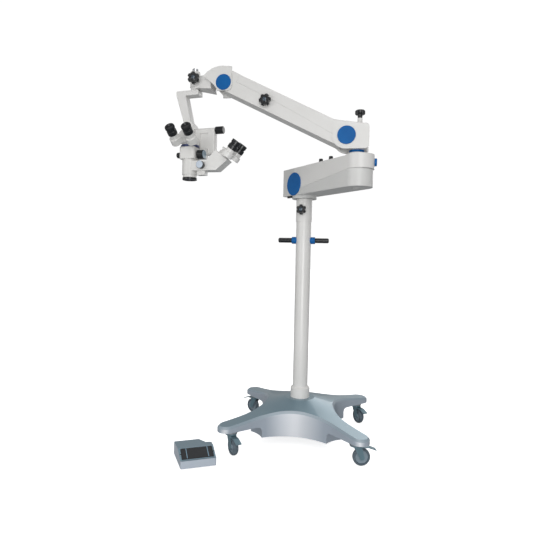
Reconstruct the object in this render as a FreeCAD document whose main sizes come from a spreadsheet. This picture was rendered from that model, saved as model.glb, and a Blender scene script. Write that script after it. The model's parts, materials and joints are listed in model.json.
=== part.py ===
import FreeCAD, Part
import math
import os
import Sketcher
from FreeCAD import Placement, Rotation, Vector

# Floor-standing surgical microscope, in millimetres. The origin is the column axis on the
# floor, +Z is up, and the four arms of the base point along the diagonals of X and Y.

DIAGONAL = math.sqrt(2)
QUARTER = 90

# Driving sizes, one group for each part of the stand
SIZES = {
    "fits": {
        "face_gap": 0.3,
        "shaft_gap": 0.06,
        "seam": 0.5,
    },
    "base casting": {
        "base_reach": 455,
        "tip_round": 42,
        "skirt_reach": 170,
        "skirt_bottom": 55,
        "arm_under": 104,
        "tip_top": 128,
        "hub_top": 196,
        "hub_flat": 72,
        "dome_radius": 2000,
        "rim_bevel": 9,
        "well_radius": 143,
        "well_round": 20,
        "casting_wall": 10,
        "hollow_top": 144,
        "socket_boss": 58,
        "socket_depth": 70,
        "boss_bottom": 112,
        "rib_bottom": 75,
        "rib_half": 5,
        "caster_boss": 32,
    },
    "casters": {
        "caster_height": 100,
        "caster_reach": 390,
        "wheel_radius": 37.5,
        "wheel_width": 24,
        "hub_width": 26,
        "axle_radius": 4,
        "trail": 25,
        "fork_plate": 7,
        "fork_radius": 26,
        "fork_sheet": 3,
        "plate_radius": 29,
        "plate_thick": 8,
        "fork_eye": 11,
        "stem_radius": 6,
        "stem_length": 20,
        "kingpin_radius": 5,
        "kingpin_length": 5,
        "brake_pivot_x": 8,
        "brake_pivot_z": 80,
        "brake_pin": 2,
        "brake_reach": 88,
        "brake_tip_z": 66,
        "brake_thick": 4,
    },
    "column": {
        "tube_radius": 36.5,
        "tube_wall": 6,
        "column_top": 1169.7,
        "collar_radius": 47,
        "collar_height": 50,
        "sleeve_radius": 39,
        "sleeve_length": 110,
        "lock_height": 1115,
        "lock_turn": -9,
        "handle_height": 968,
        "handle_reach": 124,
        "grip_radius": 12,
        "handle_collar_radius": 17,
        "handle_collar_width": 20,
        "handle_stud": 6,
    },
    "star knobs": {
        "column_knob": 24.5,
        "rear_knob": 22,
        "arm_knob": 26,
        "front_knob": 27,
        "knob_thick": 17,
        "knob_stud": 5,
    },
    "lower arm": {
        "lower_arm_turn": -47.3,
        "lower_arm_reach": 365,
        "flange_radius": 60,
        "flange_height": 15,
        "spindle_length": 126,
        "box_back": 96,
        "box_round_at": 384,
        "box_width": 124,
        "box_height": 131,
        "box_wall": 5,
        "end_step": 7,
        "lid_start": -4,
        "seam_low": 24,
        "seam_high": 74,
        "seam_bend": 391,
        "floor_thick": 20,
        "turret_rise": 3,
        "neck_radius": 40,
        "neck_rise": 14,
        "box_disc_radius": 55,
        "box_disc_at": -3,
        "box_disc_z": 54,
        "disc_thick": 4,
        "end_cap_radius": 16.5,
        "end_cap_turn": 50,
        "end_cap_z": 105,
        "end_cap_out": 9,
        "dial_radius": 10,
        "dial_height": 18,
        "dial_at": 174,
        "dial_spacing": 70,
        "dial_side": 40,
        "socket_radius": 7,
        "socket_drop": 9,
        "power_at": 85,
        "power_length": 150,
        "power_width": 100,
        "power_height": 55,
    },
    "rear swivel": {
        "upper_arm_turn": 178.8,
        "swivel_rise": 25.5,
        "swivel_radius": 20,
        "swivel_depth": 100,
        "swivel_ring_radius": 32,
        "rear_back": 51,
        "rear_front": 103,
        "rear_width": 105,
        "rear_low_top": 129,
        "rear_high_top": 151,
        "rear_pivot_x": 42.3,
        "rear_pivot_z": 81.6,
        "rear_disc_radius": 38,
        "rear_boss_top": 162,
        "rear_boss_radius": 10.5,
        "rear_corner": 16,
        "rear_jaw": 58.5,
        "rear_knob_x": 10,
    },
    "spring arm": {
        "arm_pitch": 24.62,
        "arm_length": 590.7,
        "arm_width": 92,
        "arm_half_height": 45.5,
        "arm_drop_rear": 7,
        "arm_rise_front": 16,
        "arm_wall": 4,
        "pivot_radius": 10,
        "bush_radius": 14,
        "rod_offset": 24,
        "rod_radius": 5,
        "rod_pin": 4,
        "lug_round": 8,
        "lug_width": 16,
        "ear_thick": 4,
        "open_pivot_gap": 0.5,
        "lid_rear": 54,
        "lid_front": 50,
        "crease_rear": -18.5,
        "crease_front": 23.5,
        "crease_radius": 6000,
        "spring_radius": 13,
        "spring_rear": 112,
        "spring_front": 470,
        "spring_drop": 6,
        "spring_stud": 5,
        "rib_thick": 5,
        "arm_knob_x": 382,
        "arm_knob_z": -1.5,
    },
    "front knuckle": {
        "front_width": 105,
        "front_back": 37,
        "front_high": 67,
        "front_crown": 71.5,
        "front_low": 35.5,
        "front_nose": 88,
        "front_crown_radius": 110,
        "front_seam_radius": 180,
        "front_cavity": 63,
        "front_disc_radius": 34,
        "block_half_width": 43,
        "block_top": 42,
        "block_bottom": 26,
        "block_tail": 11,
        "spindle_reach": 150,
        "lug_radius": 22.5,
        "lug_top": 69,
        "front_knob_z": 29,
        "front_knob_turn": 11,
        "front_boss_out": 30,
        "front_boss_radius": 12,
        "spindle_radius": 10,
        "spindle_head": 14,
        "spindle_top": 85,
    },
    "drop bracket": {
        "head_turn": -7,
        "bar_top": -13.7,
        "bar_height": 22,
        "bar_left": 86,
        "bar_right": 24,
        "bracket_depth": 45,
        "bracket_back": 5,
        "bracket_collar": 20,
        "leg_left": 86,
        "leg_knee": 49,
        "leg_knee_right": 12,
        "leg_knee_drop": 153.7,
        "leg_end_left": 36,
        "leg_inner": 39,
        "tilt_drop": 196,
        "tilt_pin": 8,
        "tilt_pin_length": 24,
    },
    "carrier": {
        "optical_side": 6,
        "optical_front": 50,
        "head_drop": 282,
        "carrier_width": 98,
        "carrier_front": 42.3,
        "carrier_back": 78,
        "carrier_low": -24,
        "carrier_high": 98,
        "track_left": 26,
        "track_right": 66,
        "track_depth": 4,
        "wing_out": 34,
        "wing_top": 54,
        "wing_foot": 12,
        "wing_low": -6,
        "track_top": 74,
        "tilt_knob_radius": 16.5,
        "tilt_knob_length": 38,
        "tilt_shaft": 5,
        "tilt_shaft_length": 20,
    },
    "optical head": {
        "body_half": 37,
        "body_round": 12,
        "tongue_low": -45,
        "tongue_back": 21,
        "body_back": 29,
        "body_height": 53,
        "barrel_radius": 34,
        "barrel_low": 120,
        "nose_radius": 30.5,
        "nose_low": 133,
        "objective_radius": 32.25,
        "objective_height": 10,
        "objective_bore": 24,
        "light_bore": 25,
        "lens_seat": 27,
        "lens_lip": 4,
        "lens_thick": 5.5,
        "lens_bulge": 2,
        "zoom_knob_radius": 19.5,
        "zoom_knob_out": 70,
        "zoom_small_radius": 12.5,
        "zoom_small_out": 63,
        "zoom_drop": 31,
        "zoom_shaft": 4,
        "zoom_shaft_depth": 10,
        "ring_radius": 42,
        "ring_height": 9,
        "ring_bore": 20,
        "assistant_knob_radius": 16.5,
        "assistant_knob_x": 70,
        "assistant_knob_drop": 84,
        "assistant_knob_length": 22,
        "assistant_shaft": 4,
    },
    "binoculars": {
        "eye_half_spacing": 38,
        "eye_drop": 28,
        "eye_incline": 54,
        "hinge_rise": 13,
        "drum_radius": 22,
        "drum_face": 39,
        "arm_half": 11,
        "hinge_plate": 6,
        "hinge_wall": 4,
        "foot_radius_eye": 37,
        "foot_height_eye": 7,
        "elbow_half": 34,
        "elbow_half_face": 25,
        "elbow_back": 24,
        "elbow_back_z": 30,
        "arm_start": 40,
        "arm_end": 70,
        "sleeve_radius_eye": 19,
        "sleeve_end": 88,
        "eyepiece_radius": 21,
        "eyepiece_length": 41,
        "prism_round": 25,
        "eye_bore": 12,
        "eye_spigot": 10,
        "eye_cup": 5,
    },
    "assistant": {
        "assistant_x": 162,
        "assistant_drop": 43,
        "assistant_incline": 38,
        "assistant_depth": 28,
        "assistant_flange": 27,
        "assistant_flange_thick": 7.7,
        "spigot_depth": 20,
        "assistant_low": -107,
        "assistant_low_x": 138,
        "assistant_face": 35.5,
        "assistant_neck_x": 91,
        "assistant_neck_z": -63,
        "assistant_shelf_x": 126,
        "assistant_shelf_z": -28.5,
        "camera_left": 44,
        "camera_right": 82,
        "camera_low": -124.5,
        "camera_front": -20,
        "camera_rear": 10,
        "assistant_spigot": 15,
        "assistant_arm_start": 9,
        "assistant_arm_end": 32,
        "assistant_sleeve_end": 46,
        "assistant_eyepiece": 42,
    },
    "foot pedal": {
        "pedal_x": -430,
        "pedal_y": -494,
        "pedal_turn": 28.6,
        "case_width": 150,
        "case_depth": 172,
        "case_step": 118,
        "case_narrow": 112,
        "case_front": 36,
        "case_ridge": 62,
        "case_ridge_at": 74,
        "case_rear": 54,
        "case_wall": 4,
        "case_skew": 8,
        "case_corner": 126,
        "case_hollow": 12,
        "foot_height": 4,
        "foot_radius": 8,
        "foot_inset": 16,
        "rocker_width": 134,
        "rocker_length": 60,
        "rocker_thick": 6,
        "rocker_rise": 1,
        "rocker_pocket": 12,
        "rocker_gap": 1.5,
        "rocker_slope": 22.1,
        "rocker_axis": 2,
        "strip_half": 1.5,
        "strip_at": 45,
        "strip_rise": 1.5,
        "rocker_pin": 3,
        "pin_engage": 5,
    },
}

doc = FreeCAD.newDocument("surgical_microscope")
sheet = doc.addObject("Spreadsheet::Sheet", "Sizes")


class Size:
    """A number together with the sheet formula that gives it."""

    def __init__(self, value, text):
        self.value = value
        self.text = text

    def __float__(self):
        return float(self.value)

    def join(self, other, sign, value, swap=False):
        left, right = (text_of(other), self.text) if swap else (self.text, text_of(other))
        return Size(value, f"({left} {sign} {right})")

    def __add__(self, other):
        return self.join(other, "+", self.value + float(other))

    def __radd__(self, other):
        return self.join(other, "+", self.value + float(other), swap=True)

    def __sub__(self, other):
        return self.join(other, "-", self.value - float(other))

    def __rsub__(self, other):
        return self.join(other, "-", float(other) - self.value, swap=True)

    def __mul__(self, other):
        return self.join(other, "*", self.value * float(other))

    def __rmul__(self, other):
        return self.join(other, "*", self.value * float(other), swap=True)

    def __truediv__(self, other):
        return self.join(other, "/", self.value / float(other))

    def __neg__(self):
        return Size(-self.value, f"(0 - {self.text})")


def text_of(number):
    return number.text if isinstance(number, Size) else repr(float(number))


def cosine(degrees):
    return Size(math.cos(math.radians(float(degrees))), f"cos({text_of(degrees)} * 1deg)")


def sine(degrees):
    return Size(math.sin(math.radians(float(degrees))), f"sin({text_of(degrees)} * 1deg)")


def root(number):
    return Size(math.sqrt(float(number)), f"sqrt({text_of(number)})")


class Sizes:
    """The sizes of the sheet, each as an attribute with its alias as name."""


size = Sizes()
row = 1
for group, values in SIZES.items():
    sheet.set(f"A{row}", group)
    row += 1
    for alias, value in values.items():
        sheet.set(f"A{row}", alias)
        sheet.set(f"B{row}", str(value))
        sheet.setAlias(f"B{row}", alias)
        setattr(size, alias, Size(float(value), "Sizes." + alias))
        row += 1
doc.recompute()


# Helpers for bodies, sketches and features
def bind(obj, name, number):
    if isinstance(number, Size):
        obj.setExpression(name, number.text)
    else:
        setattr(obj, name, float(number))


def move(x=0, y=0, z=0):
    return Placement(Vector(float(x), float(y), float(z)), Rotation())


def spin(degrees, axis=(0, 0, 1)):
    return Placement(Vector(), Rotation(Vector(*axis), float(degrees)))


def new_body(label, place=Placement()):
    body = doc.addObject("PartDesign::Body", label)
    body.Label = label
    body.Placement = place
    return body


def origin_of(body, role):
    return [feature for feature in body.Origin.OriginFeatures if feature.Role == role][0]


def new_sketch(body, plane, offset=0, turn=None):
    sketch = body.newObject("Sketcher::SketchObject", body.Label + "_sketch")
    sketch.AttachmentSupport = [(origin_of(body, plane + "_Plane"), "")]
    sketch.MapMode = "FlatFace"
    if turn is not None:
        sketch.AttachmentOffset = turn
    else:
        sketch.AttachmentOffset = move(z=offset)
        if isinstance(offset, Size):
            sketch.setExpression("AttachmentOffset.Base.z", offset.text)
    return sketch


def hold(sketch, kind, geometry, point, number):
    """Fix one coordinate of a sketch point, measured from the sketch's origin."""
    index = sketch.addConstraint(Sketcher.Constraint(kind, -1, 1, geometry, point, float(number)))
    if isinstance(number, Size):
        sketch.setExpression(f"Constraints[{index}]", number.text)


def arc_between(start, end, radius):
    """The minor arc from start to end; a positive radius turns left, a negative one right."""
    chord = end - start
    rise = math.sqrt(max(radius * radius - chord.Length ** 2 / 4, 0))
    side = Vector(-chord.y, chord.x, 0).normalize() * math.copysign(rise, radius)
    centre = start + chord * 0.5 + side
    first = math.atan2(start.y - centre.y, start.x - centre.x)
    last = math.atan2(end.y - centre.y, end.x - centre.x)
    if radius < 0:
        first, last = last, first
    return Part.ArcOfCircle(Part.Circle(centre, Vector(0, 0, 1), abs(radius)), first, last)


def outline(body, plane, corners, offset=0, turn=None):
    """A closed sketch. A corner is (x, y), or (x, y, radius) where an arc leads to the next."""
    sketch = new_sketch(body, plane, offset, turn)
    count = len(corners)
    spots = [Vector(float(corner[0]), float(corner[1]), 0) for corner in corners]
    shapes, ends = [], []
    for index, corner in enumerate(corners):
        start, end = spots[index], spots[(index + 1) % count]
        if len(corner) == 3:
            shapes.append(arc_between(start, end, float(corner[2])))
            ends.append((1, 2) if float(corner[2]) > 0 else (2, 1))
        else:
            shapes.append(Part.LineSegment(start, end))
            ends.append((1, 2))
    sketch.addGeometry(shapes, False)
    joins = []
    for index in range(count):
        after = (index + 1) % count
        joins.append(Sketcher.Constraint("Coincident", index, ends[index][1], after, ends[after][0]))
    sketch.addConstraint(joins)
    for index, corner in enumerate(corners):
        hold(sketch, "DistanceX", index, ends[index][0], corner[0])
        hold(sketch, "DistanceY", index, ends[index][0], corner[1])
        if len(corner) == 3:
            radius = corner[2] if float(corner[2]) > 0 else -corner[2]
            mark = sketch.addConstraint(Sketcher.Constraint("Radius", index, float(radius)))
            if isinstance(radius, Size):
                sketch.setExpression(f"Constraints[{mark}]", radius.text)
    return sketch


def circle(body, plane, radius, x=0, y=0, offset=0, turn=None):
    sketch = new_sketch(body, plane, offset, turn)
    spot = Vector(float(x), float(y), 0)
    sketch.addGeometry([Part.Circle(spot, Vector(0, 0, 1), float(radius))], False)
    mark = sketch.addConstraint(Sketcher.Constraint("Radius", 0, float(radius)))
    if isinstance(radius, Size):
        sketch.setExpression(f"Constraints[{mark}]", radius.text)
    hold(sketch, "DistanceX", 0, 3, x)
    hold(sketch, "DistanceY", 0, 3, y)
    return sketch


def box_outline(low_x, high_x, low_y, high_y):
    return [(low_x, low_y), (high_x, low_y), (high_x, high_y), (low_x, high_y)]


def pad(body, sketch, length, both=False, back=False):
    feature = body.newObject("PartDesign::Pad", body.Label + "_pad")
    feature.Profile = sketch
    bind(feature, "Length", length)
    feature.Midplane = both
    feature.Reversed = back
    doc.recompute()
    return feature


def pocket(body, sketch, length, both=False, back=False):
    feature = body.newObject("PartDesign::Pocket", body.Label + "_pocket")
    feature.Profile = sketch
    bind(feature, "Length", length)
    feature.Midplane = both
    feature.Reversed = back
    doc.recompute()
    return feature


def turned(body, sketch, kind="Revolution", axis="V_Axis"):
    feature = body.newObject("PartDesign::" + kind, body.Label + "_turned")
    feature.Profile = sketch
    feature.ReferenceAxis = (sketch, [axis])
    feature.Angle = 360
    doc.recompute()
    return feature


def ring_of(body, feature, count, axis="Z"):
    pattern = body.newObject("PartDesign::PolarPattern", body.Label + "_ring")
    pattern.Originals = [feature]
    pattern.Axis = (origin_of(body, axis + "_Axis"), [""])
    pattern.Angle = 360
    pattern.Occurrences = count
    body.Tip = pattern
    doc.recompute()
    return pattern


def soften(body, number, test, kind="Fillet"):
    """Round or bevel the edges that pass a test."""
    before = body.Tip
    names = [f"Edge{index}" for index, edge in enumerate(before.Shape.Edges, 1) if test(edge)]
    feature = body.newObject("PartDesign::" + kind, body.Label + "_" + kind.lower())
    feature.Base = (before, names)
    bind(feature, "Radius" if kind == "Fillet" else "Size", number)
    body.Tip = feature
    doc.recompute()
    return feature


def level(axis, number):
    """True for an edge that lies wholly in one plane across an axis."""
    def test(edge):
        box = edge.BoundBox
        low, high = getattr(box, axis.upper() + "Min"), getattr(box, axis.upper() + "Max")
        return abs(low - float(number)) < 0.01 and abs(high - float(number)) < 0.01
    return test


def straight(axis):
    """True for a straight edge along an axis."""
    def test(edge):
        if edge.Curve.TypeId != "Part::GeomLine":
            return False
        return abs(getattr(edge.Curve.Direction, axis)) > 0.999
    return test


def both_of(*tests):
    return lambda edge: all(test(edge) for test in tests)


def group(label, members):
    whole = doc.addObject("Part::Compound", label)
    whole.Label = label
    whole.Links = members
    doc.recompute()
    return whole


NODES = []


def keep(part):
    NODES.append(part)
    return part


# Star knob: a moulded head with six finger hollows on a neck, and its threaded stud.
# Its own +Z points out of the face that it is screwed into.
def star_knob(label, place, radius, neck, stud):
    body = new_body(label, place)
    head_low = neck
    head_top = neck + size.knob_thick
    core = radius * 0.52
    profile = [
        (0, -stud), (size.knob_stud, -stud), (size.knob_stud, 0), (core * 0.8, 0), (core, head_low),
        (radius - 3, head_low), (radius, head_low + 3), (radius, head_top - 4), (radius - 4, head_top),
        (core, head_top), (core * 0.7, head_top + 2), (0, head_top + 2),
    ]
    turned(body, outline(body, "XZ", profile))
    hollow = circle(body, "XY", radius * 0.32, radius * 1.08, 0, head_low)
    scallop = pocket(body, hollow, size.knob_thick + 4, back=True)
    ring_of(body, scallop, 6)
    return body


def solid_of_turn(label, place, profile):
    """A turned piece about its own Z; profile points are (radius, height)."""
    body = new_body(label, place)
    turned(body, outline(body, "XZ", profile))
    return body


def tube(label, place, outer, inner, low, high):
    return solid_of_turn(label, place, [(inner, low), (outer, low), (outer, high), (inner, high)])


def drill(body, plane, radius, start, depth, x=0, y=0, back=False):
    """A round hole from an offset plane, against the plane's normal unless reversed."""
    return pocket(body, circle(body, plane, radius, x, y, start), depth, back=back)


# Base casting: a low cross of four arms with a hollow skirt and a wheel well over each caster
tip_side = size.tip_round / DIAGONAL
tip_centre = (size.base_reach - size.tip_round) / DIAGONAL
flank_in = tip_centre - tip_side
flank_out = tip_centre + tip_side
flank_x = (size.skirt_reach - tip_side * 2) / (2 - DIAGONAL)
flank_y = flank_x + tip_side * 2
skirt_radius = flank_x * DIAGONAL
tip = size.base_reach / DIAGONAL
stem_at = size.caster_reach / DIAGONAL


def quarter_turns(x, y, turns):
    for _ in range(turns):
        x, y = -y, x
    return x, y


def base_outline():
    side = [
        (-flank_in, -flank_out), (-flank_x, -flank_y, -skirt_radius), (flank_x, -flank_y),
        (flank_in, -flank_out, size.tip_round), (tip, -tip, size.tip_round),
    ]
    return [(*quarter_turns(*corner[:2], turns), *corner[2:]) for turns in range(4) for corner in side]


def hollow_outline():
    """Inside of the skirt: four skirt walls and four well walls, each an arc."""
    skirt_mid = size.skirt_reach + skirt_radius
    inner_skirt = skirt_radius + size.casting_wall
    inner_well = size.well_radius + size.casting_wall
    gap_x, gap_y = stem_at, skirt_mid - stem_at
    apart = root(gap_x * gap_x + gap_y * gap_y)
    along = (inner_skirt * inner_skirt - inner_well * inner_well + apart * apart) / (apart * 2)
    across = root(inner_skirt * inner_skirt - along * along)
    meet_x = (gap_x * along - gap_y * across) / apart
    meet_y = (gap_y * along + gap_x * across) / apart - skirt_mid
    side = [(-meet_x, meet_y, -inner_skirt), (meet_x, meet_y, -inner_well)]
    return [(*quarter_turns(*corner[:2], turns), corner[2]) for turns in range(4) for corner in side]


base = keep(new_body("base_casting"))
pad(base, outline(base, "XY", base_outline(), size.skirt_bottom), size.hub_top - size.skirt_bottom)
dome_end = size.base_reach + 30
dome = [
    (size.hub_flat, size.hub_top, size.dome_radius), (dome_end, size.tip_top),
    (dome_end, size.hub_top + 10), (size.hub_flat, size.hub_top + 10),
]
turned(base, outline(base, "XZ", dome), "Groove")
soften(base, size.rim_bevel, lambda edge: 115 < edge.BoundBox.ZMin and edge.BoundBox.ZMax < 190, "Chamfer")
well_side = size.well_radius - size.well_round
well = [
    (0, size.skirt_bottom - 5), (size.well_radius, size.skirt_bottom - 5),
    (size.well_radius, size.arm_under - size.well_round, size.well_round),
    (well_side, size.arm_under), (0, size.arm_under),
]
stems = [quarter_turns(-stem_at, -stem_at, turns) for turns in range(4)]
for stem_x, stem_y in stems:
    turned(base, outline(base, "XZ", well, turn=move(stem_x, 0, -stem_y)), "Groove")
pocket(base, outline(base, "XY", hollow_outline(), 0), size.hollow_top, back=True)
pad(base, circle(base, "XY", size.socket_boss, offset=size.boss_bottom), size.hollow_top - size.boss_bottom + 5)
rib_reach = size.skirt_reach - size.casting_wall / 2
rib_height = size.hollow_top + 2 - size.rib_bottom
for long_x, long_y in [(rib_reach, size.rib_half), (size.rib_half, rib_reach)]:
    rib = outline(base, "XY", box_outline(-long_x, long_x, -long_y, long_y), size.rib_bottom)
    pad(base, rib, rib_height)
drill(base, "XY", size.tube_radius + size.shaft_gap, size.hub_top + 5, size.socket_depth + 5)
stem_top = size.caster_height + size.stem_length
for stem_x, stem_y in stems:
    boss = circle(base, "XY", size.caster_boss, stem_x, stem_y, size.caster_height)
    pad(base, boss, size.arm_under - size.caster_height + 2)
    hole = circle(base, "XY", size.stem_radius + size.shaft_gap, stem_x, stem_y, size.caster_height - 1)
    pocket(base, hole, size.stem_length + 2, back=True)

# Casters: mounting plate and stem, swivel fork with its kingpin, wheel and brake pedal
CASTER_YAWS = [-52, 15, -55, 150]
plate_low = size.caster_height - size.plate_thick
fork_top = plate_low - size.face_gap
fork_low = fork_top - size.fork_plate
axle_z = size.wheel_radius
cheek_in = size.hub_width / 2 + size.face_gap
cheek_width = cheek_in + size.fork_sheet
plates = []
for number, ((stem_x, stem_y), yaw) in enumerate(zip(stems, CASTER_YAWS), 1):
    at = move(stem_x, stem_y) * spin(yaw)
    plate = solid_of_turn(f"caster_plate_{number}", move(stem_x, stem_y), [
        (0, plate_low), (size.plate_radius, plate_low), (size.plate_radius, size.caster_height),
        (size.stem_radius, size.caster_height), (size.stem_radius, stem_top), (0, stem_top),
    ])
    drill(plate, "XY", size.kingpin_radius + size.shaft_gap, plate_low - 1, size.kingpin_length + 2, back=True)
    plates.append(plate)

    fork = keep(new_body(f"caster_fork_{number}", at))
    pad(fork, circle(fork, "XY", size.fork_radius, offset=fork_low), size.fork_plate)
    cheek = [
        (-14, fork_top - 2), (22, fork_top - 2), (size.trail + size.fork_eye, axle_z, -size.fork_eye),
        (size.trail, axle_z - size.fork_eye, -size.fork_eye), (size.trail - size.fork_eye, axle_z),
    ]
    pad(fork, outline(fork, "XZ", cheek), cheek_width * 2, both=True)
    gap = box_outline(-60, 60, 0, fork_low)
    pocket(fork, outline(fork, "XZ", gap), cheek_in * 2, both=True)
    pad(fork, circle(fork, "XZ", size.axle_radius, size.trail, axle_z), cheek_width * 2, both=True)
    pad(fork, circle(fork, "XY", size.kingpin_radius, offset=fork_top - 1), size.kingpin_length + 1)
    pin_hole = circle(fork, "XZ", size.brake_pin + size.shaft_gap, size.brake_pivot_x, size.brake_pivot_z)
    pocket(fork, pin_hole, cheek_width * 2 + 2, both=True)

    hub_half = size.hub_width / 2
    half = size.wheel_width / 2
    tread = size.wheel_radius
    bore = size.axle_radius + size.shaft_gap
    keep(solid_of_turn(f"caster_wheel_{number}", at * move(size.trail, 0, axle_z) * spin(90, (1, 0, 0)), [
        (bore, -hub_half), (11, -hub_half), (12, -half + 5), (27, -half + 5), (29, -half), (tread - 4, -half),
        (tread, -half + 5, 30), (tread, half - 5), (tread - 4, half), (29, half), (27, half - 5),
        (12, half - 5), (11, hub_half), (bore, hub_half),
    ]))

    brake = keep(new_body(f"caster_brake_{number}", at))
    rise = size.brake_thick / 2
    lever = [
        (size.brake_pivot_x, size.brake_pivot_z - rise), (54, size.brake_pivot_z - rise),
        (size.brake_reach, size.brake_tip_z), (size.brake_reach, size.brake_tip_z + size.brake_thick),
        (56, size.brake_pivot_z + rise), (size.brake_pivot_x, size.brake_pivot_z + rise),
    ]
    pad(brake, outline(brake, "XZ", lever), size.hub_width, both=True)
    barrel = circle(brake, "XZ", size.brake_pin + 1.5, size.brake_pivot_x, size.brake_pivot_z)
    pad(brake, barrel, size.hub_width, both=True)
    pin = circle(brake, "XZ", size.brake_pin, size.brake_pivot_x, size.brake_pivot_z)
    pad(brake, pin, cheek_width * 2, both=True)
keep(group("caster_plates", plates))

# Column: steel tube with a foot collar, and the fixed sleeve and two handles on it
OUT_X = spin(90, (0, 1, 0))
column = keep(new_body("column"))
column_low = size.hub_top - size.socket_depth
bore_radius = size.tube_radius - size.tube_wall
pad(column, circle(column, "XY", size.tube_radius, offset=column_low), size.column_top - column_low)
pad(column, circle(column, "XY", size.collar_radius, offset=size.hub_top), size.collar_height)
drill(column, "XY", bore_radius, size.column_top + 1, size.column_top - column_low + 2)
soften(column, 4, level("z", size.hub_top + size.collar_height), "Chamfer")
stud_hole = circle(column, "YZ", size.handle_stud + size.shaft_gap, 0, size.handle_height)
pocket(column, stud_hole, size.collar_radius * 2, both=True)
lock_hole = size.knob_stud + size.shaft_gap
lock_turn = spin(size.lock_turn, (0, 1, 0))
pocket(column, circle(column, "XZ", lock_hole, 0, size.lock_height, turn=lock_turn), size.collar_radius, back=True)

sleeve = keep(tube("hub_sleeve", move(), size.sleeve_radius, size.tube_radius + size.shaft_gap,
                   size.column_top - size.sleeve_length, size.column_top - 2))
pocket(sleeve, circle(sleeve, "XZ", lock_hole, 0, size.lock_height, turn=lock_turn), size.collar_radius, back=True)
knob_seat = size.sleeve_radius + size.face_gap
spindle_radius = bore_radius - size.shaft_gap
OUT_FRONT = spin(90, (1, 0, 0))
keep(star_knob("column_lock_knob", spin(size.lock_turn) * move(0, -knob_seat, size.lock_height) * OUT_FRONT,
               size.column_knob, 6, knob_seat - spindle_radius - size.face_gap))


def seated_disc(label, place, radius, inner, outer, seat, bore=0):
    """A short cylinder along its own Z that sits saddle-wise on a round post of radius seat."""
    body = new_body(label, place)
    pad(body, circle(body, "XY", radius, offset=inner), outer - inner)
    pocket(body, circle(body, "YZ", seat), radius * 3, both=True)
    if float(bore):
        drill(body, "XY", bore, outer + 1, outer + 2)
    return body


grips, collars = [], []
collar_end = size.tube_radius + size.handle_collar_width
for side, name in [(1, "right"), (-1, "left")]:
    at = move(0, 0, size.handle_height) * spin(side * QUARTER, (0, 1, 0))
    collars.append(seated_disc("handle_collar_" + name, at, size.handle_collar_radius,
                               size.tube_radius - 5, collar_end, size.tube_radius + size.shaft_gap,
                               size.handle_stud + size.shaft_gap))
    grip_low = collar_end + size.face_gap
    grips.append(solid_of_turn("handle_grip_" + name, at, [
        (0, bore_radius + 1), (size.handle_stud, bore_radius + 1), (size.handle_stud, grip_low),
        (size.grip_radius - 2, grip_low), (size.grip_radius, grip_low + 2),
        (size.grip_radius, size.handle_reach - 4), (size.grip_radius - 4, size.handle_reach),
        (0, size.handle_reach),
    ]))
keep(group("handle_collars", collars))
keep(group("handle_grips", grips))

# Lower arm: a tray that turns on the column, its cover, and what they carry
box_bottom = size.column_top + size.face_gap + size.flange_height
LOWER = move(0, 0, box_bottom) * spin(size.lower_arm_turn)
half_box = size.box_width / 2


def box_plan(start, round_at, inset=0):
    """Plan of the arm, straight at the column end and round at the other."""
    side = half_box - inset
    return [
        (start, -side), (round_at, -side, side), (round_at + side, 0, side), (round_at, side), (start, side),
    ]


def above_seam(start, gap):
    top = size.box_height + 20
    return [
        (start, size.seam_low + gap), (size.seam_bend, size.seam_high + gap), (600, size.seam_high + gap),
        (600, top), (start, top),
    ]


tray = keep(new_body("arm_box_body", LOWER))
tray_round = size.box_round_at - size.end_step
pad(tray, outline(tray, "XY", box_plan(-size.box_back, tray_round)), size.box_height)
pocket(tray, outline(tray, "XZ", above_seam(size.lid_start, 0)), size.box_width + 10, both=True)
inside = outline(tray, "XY", box_plan(size.lid_start + size.box_wall, tray_round, size.box_wall), size.box_wall)
pocket(tray, inside, size.box_height, back=True)
room = box_outline(-size.box_back + size.box_wall, size.lid_start + 10, size.floor_thick,
                   size.box_height - size.box_wall)
pocket(tray, outline(tray, "XZ", room), size.box_width - size.box_wall * 2, both=True)
swivel_bore = size.swivel_radius + size.shaft_gap
neck_top = size.box_height + size.neck_rise
pad(tray, circle(tray, "XY", size.neck_radius, size.lower_arm_reach), neck_top)
drill(tray, "XY", swivel_bore, neck_top + 1, neck_top + size.swivel_depth - size.neck_rise + 3,
      size.lower_arm_reach)
pad(tray, circle(tray, "XY", size.flange_radius, offset=-size.flange_height), size.flange_height)
pad(tray, circle(tray, "XY", spindle_radius, offset=-size.spindle_length), size.spindle_length)

lid = keep(new_body("arm_box_cover", LOWER))
lid_at = size.lid_start + size.seam
pad(lid, outline(lid, "XY", box_plan(lid_at, size.box_round_at)), size.box_height)
under_seam = [
    (lid_at - 5, -5), (600, -5), (600, size.seam_high + size.seam), (size.seam_bend, size.seam_high + size.seam),
    (size.lid_start, size.seam_low + size.seam), (lid_at - 5, size.seam_low + size.seam),
]
pocket(lid, outline(lid, "XZ", under_seam), size.box_width + 10, both=True)
hollow = outline(lid, "XY", box_plan(lid_at - 5, size.box_round_at, size.box_wall), -5)
pocket(lid, hollow, size.box_height - size.box_wall + 5, back=True)
pad(lid, circle(lid, "XY", half_box, size.box_round_at, 0, size.box_height - 1), size.turret_rise + 1)
drill(lid, "XY", size.neck_radius + size.face_gap, size.box_height + 20, size.box_height, size.lower_arm_reach)
dial_shaft = 3
dial_places = [size.dial_at, size.dial_at + size.dial_spacing]
for dial_x in dial_places:
    drill(lid, "XY", dial_shaft + size.shaft_gap, size.box_height + 1, size.box_wall + 2, dial_x, -size.dial_side)

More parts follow.
